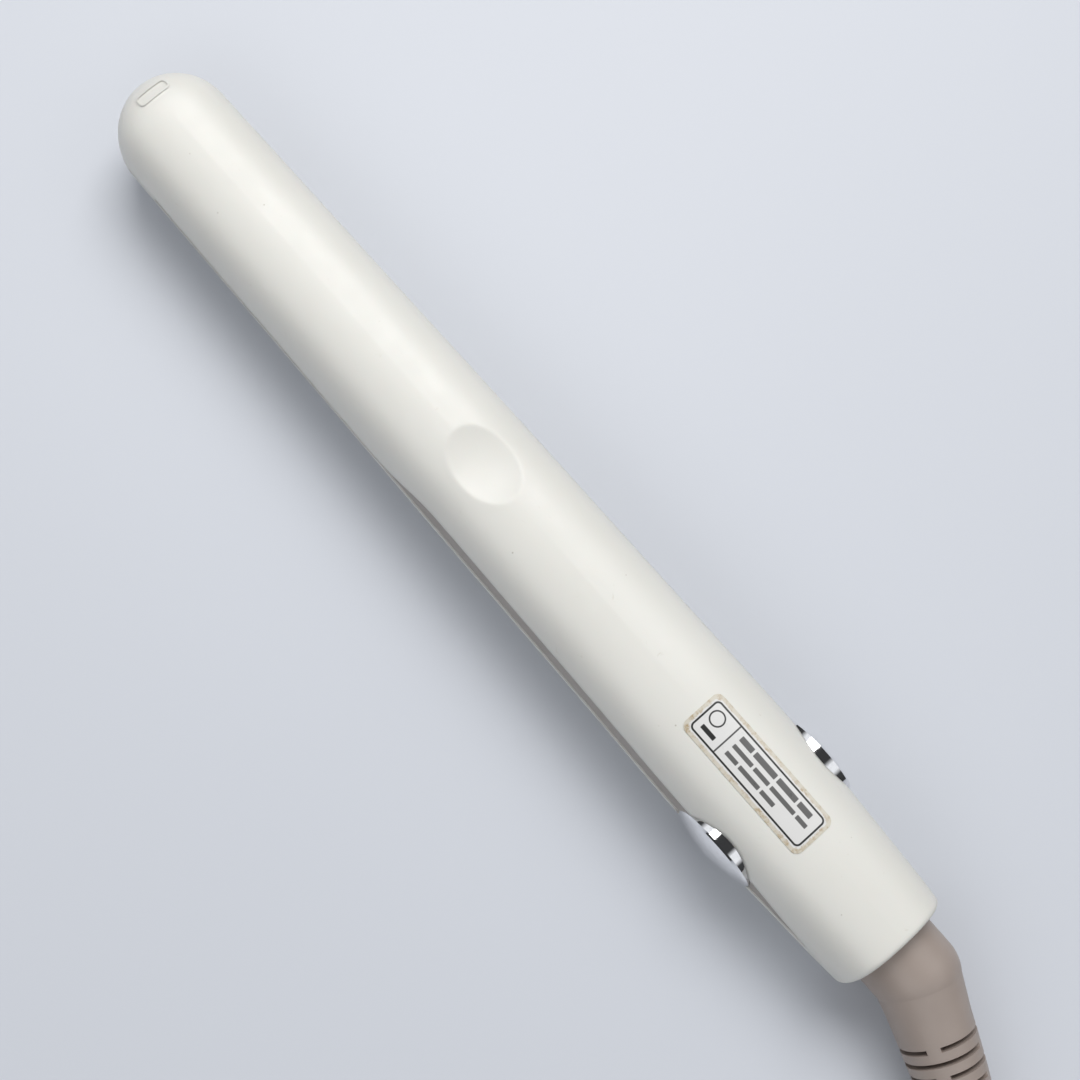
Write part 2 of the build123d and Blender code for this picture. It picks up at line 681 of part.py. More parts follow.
with BuildPart() as indicator_lamps:
    for x in (55.6, 57.0, 58.4):
        with Locations((x, 0, board_low - 0.6)):
            Box(1.0, 0.8, 1.2)
save(indicator_lamps.part, "indicator_lamps")

for name, x in button_x.items():
    with BuildPart() as button:
        face_z = seam_top - 0.1
        add(rod(x, 0, face_z, floor_top + 0.2, button_radius[name]))
        add(rod(x, 0, floor_top + 0.2, floor_top + 1.0, button_radius[name] + 1.0))
        add(rod(x, 0, floor_top + 1.0, board_low - switch_height - button_travel - 0.1, 1.0))
        fillet(button.faces().sort_by(Axis.Z)[0].edges(), 0.4)
    save(button.part, name)


# ---------------------------------------------------------------- screws
def screw(x, z_head, side):
    """Countersunk screw whose head faces the parting plane."""
    with BuildPart() as fastener:
        add(rod(x, 0, z_head, z_head + side * 0.8, screw_head_radius))
        add(rod(x, 0, z_head, z_head + side * (screw_length - 0.5), screw_radius))
        with Locations((x, 0, z_head)):
            Box(2.6, 0.5, 0.8, mode=Mode.SUBTRACT)
    return fastener.part


with BuildPart() as upper_screws:
    for x in boss_places:
        add(screw(x, seam_top, 1))
    add(screw(nose_boss_x, parting_z + nose_screw_z, 1))
save(upper_screws.part, "upper_screws")

with BuildPart() as lower_screws:
    for x in boss_places:
        add(screw(x, lower_floor_top, -1))
    add(screw(nose_boss_x, parting_z - nose_screw_z, -1))
save(lower_screws.part, "lower_screws")

# ---------------------------------------------------------------- lock, swivel and cord guard
with BuildPart() as lock_slider:
    block_x = (lock_slot_x[1] - play - lock_length, lock_slot_x[1] - play)
    add(box_between(block_x, (-lock_width / 2, lock_width / 2), (0.3, 2.6)))
    add(box_between((hinge_x + 0.4, block_x[0]), (-2.9, 2.9), (0.9, 2.6)))
    for i in range(5):
        x = block_x[0] + 2.5 + i * 2.2
        with Locations((x, 0, 0.3)):
            Box(0.8, lock_width - 2, 0.8, mode=Mode.SUBTRACT)
save(lock_slider.part, "lock_slider")

flange_x = rear_x - rear_wall - play - flange_thickness
retainer_x = flange_x - 0.3 - retainer_thickness
clip_groove_x = retainer_x - 0.3 - 1.0
with BuildPart() as swivel_retainer:
    add(body_form(wall + fit, end_inset=rear_wall))
    add(box_between((retainer_x, retainer_x + retainer_thickness), (-30, 30), (0, 60)), mode=Mode.INTERSECT)
    with BuildSketch(Plane.YZ.offset(retainer_x - 1)):
        with Locations((0, parting_z)):
            Circle(spigot_radius + 0.05)
    extrude(amount=retainer_thickness + 2, mode=Mode.SUBTRACT)
    add(rod(tail_screw_x, 0, 0, tail_screw_z + screw_length, screw_radius + 0.05), mode=Mode.SUBTRACT)
save(swivel_retainer.part, "swivel_retainer")


def along_axis(x, radius, length):
    """A round bar on the swivel's axis."""
    with BuildPart() as bar:
        with BuildSketch(Plane.YZ.offset(x)):
            with Locations((0, parting_z)):
                Circle(radius)
        extrude(amount=length)
    return bar.part


with BuildPart() as cord_guard:
    add(along_axis(flange_x - spigot_length, spigot_radius, spigot_length))
    add(along_axis(clip_groove_x - 0.1, spigot_radius + 1, 1.2) - along_axis(clip_groove_x - 1, 7.2, 4),
        mode=Mode.SUBTRACT)
    add(along_axis(flange_x, flange_radius, flange_thickness))
    add(along_axis(flange_x + flange_thickness, neck_radius, elbow.X - flange_x - flange_thickness))
    with Locations(elbow):
        Sphere(neck_radius)
    with BuildSketch(Plane(elbow, x_dir=guard_direction, z_dir=(0, math.sin(dip), -math.cos(dip)))):
        with BuildLine():
            Line((0, 0), (0, neck_radius))
            Spline((0, neck_radius), (14, 9.9), (26, 9.3), (44, 7.4), (guard_length, guard_end_radius))
            Polyline((guard_length, guard_end_radius), (guard_length, 0), (0, 0))
        make_face()
    revolve(axis=Axis(elbow, guard_direction))
    # Flex slots: each is a pair of half rings, and every second pair is turned a quarter.
    for i in range(slot_count):
        middle = elbow + guard_direction * (slot_start + i * slot_pitch)
        core = max(4.0, 6.0 - 0.25 * i)
        with BuildSketch(Plane(middle, x_dir=(0, math.cos(dip), math.sin(dip)), z_dir=guard_direction)):
            Circle(13)
            Circle(core, mode=Mode.SUBTRACT)
            if i % 2:
                Rectangle(26, 3.4, mode=Mode.SUBTRACT)
            else:
                Rectangle(3.4, 26, mode=Mode.SUBTRACT)
        extrude(amount=slot_width, mode=Mode.SUBTRACT)
save(cord_guard.part, "cord_guard")

with BuildPart() as swivel_clip:
    add(along_axis(clip_groove_x, 10.0, 1.0) - along_axis(clip_groove_x - 1, 7.25, 3))
    add(box_between((clip_groove_x - 1, clip_groove_x + 2), (-3, 3), (0, parting_z)), mode=Mode.SUBTRACT)
save(swivel_clip.part, "swivel_clip")

with BuildPart() as tail_screw:
    add(screw(tail_screw_x, tail_screw_z, 1))
save(tail_screw.part, "tail_screw")

# ---------------------------------------------------------------- wiring
with BuildPart() as lower_heater_leads:
    for side in (1, -1):
        z = lift(-1, plate_back + 1.95)
        y = side * lead_y
        add(wire([(heater_x[1] + 3.4, side * 3.0, z), (frame_rear_x + 2, side * 3.0, z),
                  (frame_rear_x + 12, y, parting_z - 7.5), (hinge_x - 15, y, parting_z - 7.5),
                  (hinge_x - 7.5, y, parting_z - 4.0), (hinge_x - 4.5, y, parting_z - 1.0)],
                 lead_radius, 1.5))
save(lower_heater_leads.part, "lower_heater_leads")

with BuildPart() as upper_heater_leads:
    for side in (1, -1):
        z = lift(1, plate_back + 1.95)
        add(wire([(heater_x[1] + 3.4, side * 3.0, z), (frame_rear_x + 2, side * 3.0, z),
                  (frame_rear_x + 10, side * 7.0, parting_z + 8.6),
                  (board_front_x + 4, side * 8.5, board_high + 1.3)],
                 lead_radius, 1.5))
save(upper_heater_leads.part, "upper_heater_leads")

with BuildPart() as hinge_leads:
    for side in (1, -1):
        y = side * lead_y
        add(wire([(hinge_x - 3.0, y, parting_z + 3.0), (hinge_x - 4.0, y, parting_z + 9.0),
                  (hinge_x - 14.0, side * 8.6, parting_z + 12.5),
                  (board_rear_x - 3, side * 8.6, board_high + 1.2)],
                 lead_radius, 1.8))
save(hinge_leads.part, "hinge_leads")

with BuildPart() as mains_leads:
    for side in (1, -1):
        y = side * 3.9
        spigot_front = flange_x - spigot_length - play
        add(wire([(spigot_front, y, parting_z), (spigot_front - 3, y, parting_z),
                  (hinge_x + 8.0, y, parting_z + 14.4), (hinge_x - 8.0, y, parting_z + 14.4),
                  (board_rear_x - 4, y, board_high + 1.2)], lead_radius, 1.8))
save(mains_leads.part, "mains_leads")

# ---------------------------------------------------------------- label and tip mark
with BuildPart() as rating_label:
    add(body_form(-label_thickness))
    with BuildSketch(Plane.XY.offset(parting_z + 8)):
        with Locations((label_x, 0)):
            RectangleRounded(label_length, label_width, 2.0)
    extrude(amount=25, mode=Mode.INTERSECT)
    add(body_form(0.0), mode=Mode.SUBTRACT)
save(rating_label.part, "rating_label")

# ---------------------------------------------------------------- mains cord, stored in a hank
hank_end_x = hank_x + hank_length
hank_side_y = -(hank_turns_across - 0.5) * cord_d
cord_points = [
    guard_end,
    guard_end + guard_direction * 19.5,
    Vector(243.6, hank_side_y, cord_radius + 0.05),
    Vector(263.0, hank_side_y, cord_radius + 0.05),
]
cord_radii = []
for before, corner, after in zip(cord_points, cord_points[1:], cord_points[2:]):
    bend = math.radians((corner - before).get_angle(after - corner))
    cord_radii.append(0.45 * min((corner - before).length, (after - corner).length) / math.tan(bend / 2))
print("cord bend radii (mm):", [round(r, 1) for r in cord_radii])

with BuildPart() as power_cord:
    with BuildLine() as route:
        FilletPolyline(*cord_points, radius=cord_radii)
    with BuildSketch(Plane(route.line @ 0, z_dir=route.line % 0)):
        Circle(cord_radius)
    sweep()
route_length = sum(piece.length for piece in route.edges())
print("cord tube length (mm):", round(route_length, 1))
print("cord tube volume over section times length:",
      round(power_cord.part.volume / (math.pi * cord_radius**2 * route_length), 4))
save(power_cord.part, "power_cord")

tie_x = hank_x + 0.36 * hank_length
tie_room = (tie_x - tie_width / 2, tie_x + tie_width / 2)
plug_turn_radius = 3.3 * cord_d
plug_turn_x, plug_turn_y = hank_end_x - hank_width / 2, plug_y - plug_turn_radius
with BuildPart() as cord_hank:
    with BuildSketch():
        with Locations((hank_x + hank_length / 2, 0)):
            SlotOverall(hank_length, hank_width)
    extrude(amount=hank_height)
    fillet(cord_hank.edges().filter_by(Plane.XY), cord_radius)
    # The last half turn climbs on top, over to the plug.
    with BuildSketch(Plane.XY.offset(hank_height)):
        with BuildLine():
            CenterArc((plug_turn_x, plug_turn_y), plug_turn_radius + cord_radius, -90, 180)
            CenterArc((plug_turn_x, plug_turn_y), plug_turn_radius - cord_radius, -90, 180)
            for way in (-1, 1):
                Line((plug_turn_x, plug_turn_y + way * (plug_turn_radius - cord_radius)),
                     (plug_turn_x, plug_turn_y + way * (plug_turn_radius + cord_radius)))
        make_face()
    extrude(amount=cord_d)
    add(box_between(tie_room, (-60, 60), (-5, tie_thickness)), mode=Mode.SUBTRACT)
    # The cord comes in as the lowest, outermost strand.
    entry_x = (hank_x - 1, cord_points[-1].X)
    entry_y = (-40, hank_side_y + cord_radius + fit)
    add(box_between(entry_x, entry_y, (-1, cord_d + fit)), mode=Mode.SUBTRACT)
save(cord_hank.part, "cord_hank")

with BuildPart() as cord_tie:
    tie_y = hank_width / 2 + tie_thickness
    tie_top = hank_height + 2 * tie_thickness
    with BuildSketch(Plane.YZ.offset(tie_room[0])):
        with Locations((0, tie_top / 2)):
            RectangleRounded(2 * tie_y, tie_top, cord_radius)
            RectangleRounded(hank_width, tie_top - 2 * tie_thickness, 0.9, mode=Mode.SUBTRACT)
    extrude(amount=tie_width)
save(cord_tie.part, "cord_tie")

plug_z = hank_height + plug_height / 2
plug_rear_x = plug_turn_x - 16.0
plug_front_x = plug_rear_x - plug_length
with BuildPart() as mains_plug:
    with BuildSketch(Plane.YZ.offset(plug_front_x)):
        with Locations((plug_y, plug_z)):
            RectangleRounded(plug_width, plug_height, 4.0)
    extrude(amount=plug_length)
    with BuildSketch(Plane.YZ.offset(plug_rear_x)):
        with Locations((plug_y, hank_height + cord_radius + 1.6)):
            Circle(4.8)
    with BuildSketch(Plane.YZ.offset(plug_turn_x)):
        with Locations((plug_y, hank_height + cord_radius)):
            Circle(cord_radius)
    loft()
save(mains_plug.part, "mains_plug")

with BuildPart() as plug_blades:
    for side in (1, -1):
        with BuildSketch(Plane.YZ.offset(plug_front_x - blade_length)):
            with Locations((plug_y + side * blade_spacing / 2, plug_z)):
                Rectangle(blade_thickness, blade_width)
        extrude(amount=blade_length)
        with Locations((plug_front_x - blade_length + 3.5, plug_y + side * blade_spacing / 2, plug_z)):
            Cylinder(1.5, 4, rotation=(90, 0, 0), mode=Mode.SUBTRACT)
save(plug_blades.part, "plug_blades")
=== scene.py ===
"""Looks of a hair straightener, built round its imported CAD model. Metres, in the CAD's frame."""
import json
import math
import random

import bpy
from mathutils import Matrix, Vector


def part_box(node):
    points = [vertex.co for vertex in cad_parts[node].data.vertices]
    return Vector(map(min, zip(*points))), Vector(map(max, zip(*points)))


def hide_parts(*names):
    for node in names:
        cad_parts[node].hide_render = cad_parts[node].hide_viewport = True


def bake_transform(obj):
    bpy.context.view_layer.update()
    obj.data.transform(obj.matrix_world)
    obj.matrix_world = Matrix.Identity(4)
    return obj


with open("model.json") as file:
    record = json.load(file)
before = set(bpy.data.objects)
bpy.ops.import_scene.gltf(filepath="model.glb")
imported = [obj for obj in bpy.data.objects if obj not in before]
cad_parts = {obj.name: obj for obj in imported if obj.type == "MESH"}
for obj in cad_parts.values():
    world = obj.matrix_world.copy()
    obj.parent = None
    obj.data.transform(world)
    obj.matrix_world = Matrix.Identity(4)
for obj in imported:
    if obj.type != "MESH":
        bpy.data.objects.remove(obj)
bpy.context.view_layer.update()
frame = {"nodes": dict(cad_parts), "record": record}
random.seed(7)

# ---------------------------------------------------------------- camera
TARGET = Vector((0.01062, 0.00141, 0.016))
DISTANCE = 0.4957
TILT_X, TILT_Y, ROLL = math.radians(-9.66), math.radians(-3.30), math.radians(48.62)

turned = Matrix.Rotation(TILT_Y, 3, "Y") @ Matrix.Rotation(TILT_X, 3, "X")
to_world = turned.transposed()
view_back = to_world @ Vector((0, 0, 1))
view_right = to_world @ Vector((math.cos(ROLL), math.sin(ROLL), 0))
view_up = to_world @ Vector((-math.sin(ROLL), math.cos(ROLL), 0))

camera_data = bpy.data.cameras.new("camera")
camera_data.sensor_width = 36.0
camera_data.lens = 66.67
camera_data.clip_start = 0.01
camera = bpy.data.objects.new("camera", camera_data)
bpy.context.collection.objects.link(camera)
axes = Matrix((view_right, view_up, view_back)).transposed().to_4x4()
camera.matrix_world = Matrix.Translation(TARGET + view_back * DISTANCE) @ axes
bpy.context.scene.camera = camera


# ---------------------------------------------------------------- shader helpers
class Shader:
    """A material's node tree, with short ways to add to it."""

    def __init__(self, name):
        self.material = bpy.data.materials.new(name)
        self.material.use_nodes = True
        self.tree = self.material.node_tree
        self.bsdf = self.tree.nodes["Principled BSDF"]
        self.place = self.add("ShaderNodeTexCoord").outputs["Object"]

    def add(self, kind, **values):
        node = self.tree.nodes.new(kind)
        for key, value in values.items():
            setattr(node, key, value)
        return node

    def link(self, source, socket):
        self.tree.links.new(source, socket)

    def put(self, socket, value):
        """Links an output to a socket, or sets a constant on it."""
        if isinstance(value, bpy.types.NodeSocket):
            self.link(value, socket)
        else:
            socket.default_value = value

    def math(self, operation, *values, clamp=False):
        node = self.add("ShaderNodeMath", operation=operation, use_clamp=clamp)
        for socket, value in zip(node.inputs, values):
            self.put(socket, value)
        return node.outputs[0]

    def noise(self, scale, detail=4.0, roughness=0.5, stretch=(1, 1, 1), distortion=0.0):
        mapping = self.add("ShaderNodeMapping")
        mapping.inputs["Scale"].default_value = stretch
        self.link(self.place, mapping.inputs["Vector"])
        node = self.add("ShaderNodeTexNoise")
        self.link(mapping.outputs[0], node.inputs["Vector"])
        node.inputs["Scale"].default_value = scale
        node.inputs["Detail"].default_value = detail
        node.inputs["Roughness"].default_value = roughness
        node.inputs["Distortion"].default_value = distortion
        return node.outputs[0]

    def spread(self, value, low, high, to_low=0.0, to_high=1.0, smooth=False):
        node = self.add("ShaderNodeMapRange", clamp=True)
        if smooth:
            node.interpolation_type = "SMOOTHSTEP"
        for name, number in (("From Min", low), ("From Max", high), ("To Min", to_low), ("To Max", to_high)):
            node.inputs[name].default_value = number
        self.link(value, node.inputs["Value"])
        return node.outputs["Result"]

    def mix(self, share, first, second):
        node = self.add("ShaderNodeMix", data_type="RGBA")
        self.put(node.inputs[0], share)
        for socket, value in ((node.inputs[6], first), (node.inputs[7], second)):
            self.put(socket, value if isinstance(value, bpy.types.NodeSocket) else (*value, 1.0))
        return node.outputs[2]

    def bump(self, height, distance, strength=1.0, before=None):
        node = self.add("ShaderNodeBump")
        node.inputs["Strength"].default_value = strength
        node.inputs["Distance"].default_value = distance
        self.link(height, node.inputs["Height"])
        if before is not None:
            self.link(before, node.inputs["Normal"])
        return node.outputs[0]

    def axes(self):
        split = self.add("ShaderNodeSeparateXYZ")
        self.link(self.place, split.inputs[0])
        return split.outputs

    def finish(self, color, roughness, normal=None, **constants):
        self.put(self.bsdf.inputs["Base Color"], color)
        self.put(self.bsdf.inputs["Roughness"], roughness)
        if normal is not None:
            self.link(normal, self.bsdf.inputs["Normal"])
        for name, value in constants.items():
            self.bsdf.inputs[name.replace("_", " ")].default_value = value
        return self.material


def moulded(name, color, darker, rough, grain=9000.0, grain_height=0.00001, **constants):
    """A moulded plastic or rubber: soft colour drift, fine grain and a slightly uneven gloss."""
    s = Shader(name)
    drift = s.noise(60.0, 3.0)
    tone = s.mix(s.spread(drift, 0.35, 0.7), color, darker)
    gloss = s.spread(s.noise(240.0, 4.0), 0.3, 0.7, rough - 0.05, rough + 0.06)
    fine = s.noise(grain, 2.0)
    return s.finish(tone, gloss, s.bump(fine, grain_height, 0.6), **constants)


def metal(name, color, rough, stretch=(1, 1, 1), scratch=4000.0):
    s = Shader(name)
    lines = s.noise(scratch, 3.0, stretch=stretch)
    gloss = s.spread(lines, 0.3, 0.7, rough * 0.7, rough * 1.4)
    tone = s.mix(s.spread(s.noise(150.0), 0.3, 0.7), color, tuple(c * 0.9 for c in color))
    return s.finish(tone, gloss, s.bump(lines, 0.000005, 0.3), Metallic=1.0)


def cream_shell():
    """Pearly off-white moulding with small marks from use."""
    s = Shader("cream_shell")
    tone = s.mix(s.spread(s.noise(25.0, 3.0), 0.3, 0.7), (0.775, 0.766, 0.718), (0.750, 0.740, 0.690))
    smudge = s.spread(s.noise(420.0, 6.0, 0.65, distortion=0.6), 0.66, 0.76, 0.0, 0.30)
    tone = s.mix(smudge, tone, (0.50, 0.44, 0.34))
    cells = s.add("ShaderNodeTexVoronoi")
    cells.inputs["Scale"].default_value = 210.0
    s.link(s.place, cells.inputs["Vector"])
    speck = s.spread(cells.outputs["Distance"], 0.03, 0.06, 1.0, 0.0)
    chosen = s.spread(s.noise(90.0, 1.0), 0.60, 0.64)
    tone = s.mix(s.math("MULTIPLY", s.math("MULTIPLY", speck, chosen), 0.55), tone, (0.30, 0.25, 0.19))
    gloss = s.spread(s.noise(180.0, 4.0), 0.3, 0.7, 0.40, 0.50)
    softened = s.add("ShaderNodeBevel", samples=8)
    softened.inputs["Radius"].default_value = 0.0016
    normal = s.bump(s.noise(7000.0, 2.0), 0.00001, 0.35, softened.outputs[0])
    return s.finish(tone, gloss, normal, Coat_Weight=0.12, Coat_Roughness=0.3, Subsurface_Weight=0.03,
                    Subsurface_Scale=0.003)


def chrome():
    s = Shader("chrome")
    haze = s.noise(500.0, 5.0, 0.6)
    tone = s.mix(s.spread(haze, 0.45, 0.75), (0.90, 0.90, 0.91), (0.80, 0.80, 0.81))
    return s.finish(tone, s.spread(haze, 0.35, 0.75, 0.03, 0.09), None, Metallic=1.0)


def label_stock():
    """A printed sticker: white, a thin black frame, one divider and plain bars in place of its text."""
    s = Shader("label_stock")
    low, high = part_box("rating_label")
    middle = [(a + b) / 2 for a, b in zip(low, high)]
    x, y, _ = s.axes()
    x, y = s.math("SUBTRACT", x, middle[0]), s.math("SUBTRACT", y, middle[1])

    def inside(half_length, half_width, corner, at=(0.0, 0.0)):
        """1 inside a rounded rectangle."""
        reach_x = s.math("MAXIMUM", s.math("SUBTRACT", s.math("ABSOLUTE", s.math("SUBTRACT", x, at[0])),
                                           half_length - corner), 0.0)
        reach_y = s.math("MAXIMUM", s.math("SUBTRACT", s.math("ABSOLUTE", s.math("SUBTRACT", y, at[1])),
                                           half_width - corner), 0.0)
        far = s.math("SQRT", s.math("ADD", s.math("MULTIPLY", reach_x, reach_x),
                                    s.math("MULTIPLY", reach_y, reach_y)))
        return s.spread(far, corner - 0.00006, corner + 0.00006, 1.0, 0.0)

    frame_outer = inside(0.0191, 0.00485, 0.0014)
    frame_inner = inside(0.01862, 0.00437, 0.00095)
    ink = s.math("SUBTRACT", frame_outer, frame_inner)
    ink = s.math("MAXIMUM", ink, inside(0.0002, 0.0047, 0.00005, (-0.0107, 0.0)))
    ring = s.math("SUBTRACT", inside(0.0021, 0.0021, 0.0021, (-0.0158, 0.0014)),
                  inside(0.0017, 0.0017, 0.0017, (-0.0158, 0.0014)))
    ink = s.math("MAXIMUM", ink, ring)
    ink = s.math("MAXIMUM", ink, inside(0.0022, 0.0006, 0.0002, (-0.0149, -0.0024)))
    # Rows of plain bars, broken the way words are.
    for middle_y, half_height, bars in (
        (0.0026, 0.00078, ((-0.0087, 0.0042), (-0.0038, 0.0074), (0.0043, 0.0066), (0.0116, 0.0043))),
        (0.0001, 0.00058, ((-0.0087, 0.0066), (-0.0014, 0.0051), (0.0044, 0.0083), (0.0134, 0.0035))),
        (-0.0023, 0.00058, ((-0.0087, 0.0039), (-0.0041, 0.0069), (0.0035, 0.0046))),
    ):
        for start, span in bars:
            ink = s.math("MAXIMUM", ink, s.math("MULTIPLY", 0.85, inside(
                span / 2, half_height, 0.0002, (start + span / 2, middle_y))))
    edge = s.math("SUBTRACT", 1.0, inside(0.0196, 0.0053, 0.0016))
    paper = s.mix(edge, (0.755, 0.75, 0.735), (0.66, 0.62, 0.53))
    grime = s.math("MULTIPLY", s.math("SUBTRACT", 1.0, inside(0.0193, 0.0051, 0.0016)),
                   s.spread(s.noise(650.0, 6.0, 0.7), 0.48, 0.66, 0.0, 0.75))
    paper = s.mix(grime, paper, (0.40, 0.27, 0.11))
    tone = s.mix(ink, paper, (0.025, 0.025, 0.025))
    gloss = s.spread(s.noise(300.0), 0.3, 0.7, 0.26, 0.36)
    return s.finish(tone, gloss, s.bump(s.noise(800.0, 2.0), 0.00004, 0.2), Coat_Weight=0.3,
                    Coat_Roughness=0.15)


def circuit_board():
    s = Shader("board_green")
    cells = s.add("ShaderNodeTexVoronoi", distance="CHEBYCHEV")
    cells.inputs["Scale"].default_value = 380.0
    s.link(s.place, cells.inputs["Vector"])
    tracks = s.spread(cells.outputs["Distance"], 0.42, 0.46)
    return s.finish(s.mix(tracks, (0.02, 0.12, 0.05), (0.05, 0.22, 0.09)), s.spread(tracks, 0, 1, 0.35, 0.28),
                    s.bump(tracks, 0.00003, 0.5))


def lens():
    s = Shader("lens")
    haze = s.noise(600.0)
    return s.finish(s.mix(s.spread(haze, 0.3, 0.7), (0.85, 0.85, 0.83), (0.78, 0.78, 0.76)),
                    s.spread(haze, 0.3, 0.7, 0.12, 0.2), None, Transmission_Weight=0.8, IOR=1.49)


taupe = (0.37, 0.308, 0.272)
materials = {
    "cream_shell": cream_shell(),
    "taupe_cover": moulded("taupe_cover", (0.36, 0.325, 0.29), (0.33, 0.295, 0.262), 0.36),
    "taupe_rubber": moulded("taupe_rubber", taupe, tuple(c * 0.92 for c in taupe), 0.42),
    "frame_plastic": moulded("frame_plastic", (0.045, 0.034, 0.028), (0.035, 0.027, 0.022), 0.5),
    "plate_coating": moulded("plate_coating", (0.085, 0.055, 0.042), (0.06, 0.042, 0.034), 0.22,
                             Coat_Weight=0.4, Coat_Roughness=0.1),
    "chrome": chrome(),
    "heater_ceramic": moulded("heater_ceramic", (0.85, 0.84, 0.80), (0.76, 0.74, 0.70), 0.6),
    "aluminium": metal("aluminium", (0.75, 0.76, 0.77), 0.35, (0.05, 1, 1)),
    "mica": moulded("mica", (0.52, 0.46, 0.32), (0.42, 0.36, 0.24), 0.3),
    "steel": metal("steel", (0.66, 0.66, 0.67), 0.25, (1, 0.1, 1)),
    "silicone": moulded("silicone", (0.52, 0.12, 0.07), (0.42, 0.09, 0.05), 0.55),
    "board_green": circuit_board(),
    "component_black": moulded("component_black", (0.02, 0.02, 0.02), (0.03, 0.03, 0.03), 0.3),
    "lens": lens(),
    "lamp": moulded("lamp", (0.80, 0.32, 0.06), (0.66, 0.22, 0.04), 0.2),
    "button_cream": moulded("button_cream", (0.70, 0.67, 0.61), (0.66, 0.63, 0.57), 0.4),
    "lead_insulation": moulded("lead_insulation", (0.72, 0.71, 0.68), (0.62, 0.60, 0.57), 0.5),
    "cord_rubber": moulded("cord_rubber", taupe, tuple(c * 0.9 for c in taupe), 0.45),
    "label_stock": label_stock(),
    "brass": metal("brass", (0.80, 0.62, 0.30), 0.25, (0.1, 1, 1)),
    "tie": moulded("tie", (0.02, 0.02, 0.02), (0.035, 0.035, 0.035), 0.45),
}

slots = {row["node"]: row["material_slot"] for row in frame["record"]["subparts"]}
for node, piece in frame["nodes"].items():
    material = materials[slots[node]]
    if not piece.material_slots:
        piece.data.materials.append(material)
    for slot in piece.material_slots:
        slot.material = material


# ---------------------------------------------------------------- mains cord
CORD_DIAMETER = 0.0065
GUARD_TURN, GUARD_DIP = math.radians(23.0), math.radians(28.0)
elbow = Vector((0.150, 0.0, 0.018))
guard_direction = Vector((
    math.cos(GUARD_TURN),
    -math.sin(GUARD_TURN) * math.cos(GUARD_DIP),
    -math.sin(GUARD_TURN) * math.sin(GUARD_DIP),
))
guard_end = elbow + guard_direction * 0.060
hank_start = 0.228
near_x, far_x = hank_start + 0.02925, hank_start + 0.125 - 0.02925
tie_x = hank_start + 0.045
floor_gap = 0.00003


def turn_points(half_width, z, steps=7):
    """One turn of the hank, from its near end's -Y side: a run, an end loop, a run, an end loop."""
    under_tie = ((-0.014, 0.0), (-0.006, 0.00097), (0.006, 0.00097), (0.014, 0.0), (0.032, 0.0))
    points = []

    def add(x, y, raised=0.0):
        points.append(Vector((x, y, z + raised)))

    # A control point just outside each arc keeps the curve on the circle.
    out = half_width / math.cos(math.pi / steps / 2)
    for offset, raised in under_tie:
        add(tie_x + offset, -half_width, raised)
    for i in range(steps):
        a = -math.pi / 2 + math.pi * (i + 0.5) / steps
        add(far_x + out * math.cos(a), out * math.sin(a))
    for offset, raised in reversed(under_tie):
        add(tie_x + offset, half_width, raised)
    for i in range(steps):
        a = math.pi / 2 + math.pi * (i + 0.5) / steps
        add(near_x + out * math.cos(a), out * math.sin(a))
    return points


outer, inner = 0.026, 0.0195
layers = [CORD_DIAMETER * (i + 0.5) + floor_gap for i in range(3)]
route = [
    guard_end,
    guard_end + guard_direction * 0.0195,
    Vector((0.2436, -outer, layers[0])),
]
turns = [(outer, 0), (inner, 0), (inner, 1), (outer, 1), (outer, 2), (inner, 2)]
for i, (half_width, layer) in enumerate(turns):
    following = turns[i + 1] if i + 1 < len(turns) else (inner, 2)
    these = turn_points(half_width, layers[layer])
    # The end loop at the near end leads over to where the next turn lies.
    tail = these[-7:]
    for j, point in enumerate(tail):
        share = (j + 0.5) / len(tail)
        scale = (half_width + (following[0] - half_width) * share) / half_width
        point.x = near_x + (point.x - near_x) * scale
        point.y *= scale
        point.z += (layers[following[1]] - layers[layer]) * share
    route += these
top = 3 * CORD_DIAMETER + CORD_DIAMETER / 2 + floor_gap
for j, point in enumerate(route[-7:]):
    point.z += (top - layers[2]) * (j + 0.5) / 7
plug_turn = 3.3 * CORD_DIAMETER
plug_y = 0.017
turn_y = plug_y - plug_turn
route += [
    Vector((tie_x - 0.013, -0.0230, top + 0.0008)),
    Vector((tie_x - 0.006, turn_y - plug_turn, top + 0.0021)),
    Vector((tie_x + 0.006, turn_y - plug_turn, top + 0.0021)),
    Vector((tie_x + 0.018, turn_y - plug_turn, top + 0.0004)),
    Vector((tie_x + 0.034, turn_y - plug_turn, top)),
]
for i in range(7):
    a = -math.pi / 2 + math.pi * (i + 0.5) / 7
    out = plug_turn / math.cos(math.pi / 14)
    route.append(Vector((far_x + out * math.cos(a), turn_y + out * math.sin(a), top)))
route += [Vector((far_x - 0.004, plug_y, top)), Vector((far_x - 0.014, plug_y, top))]

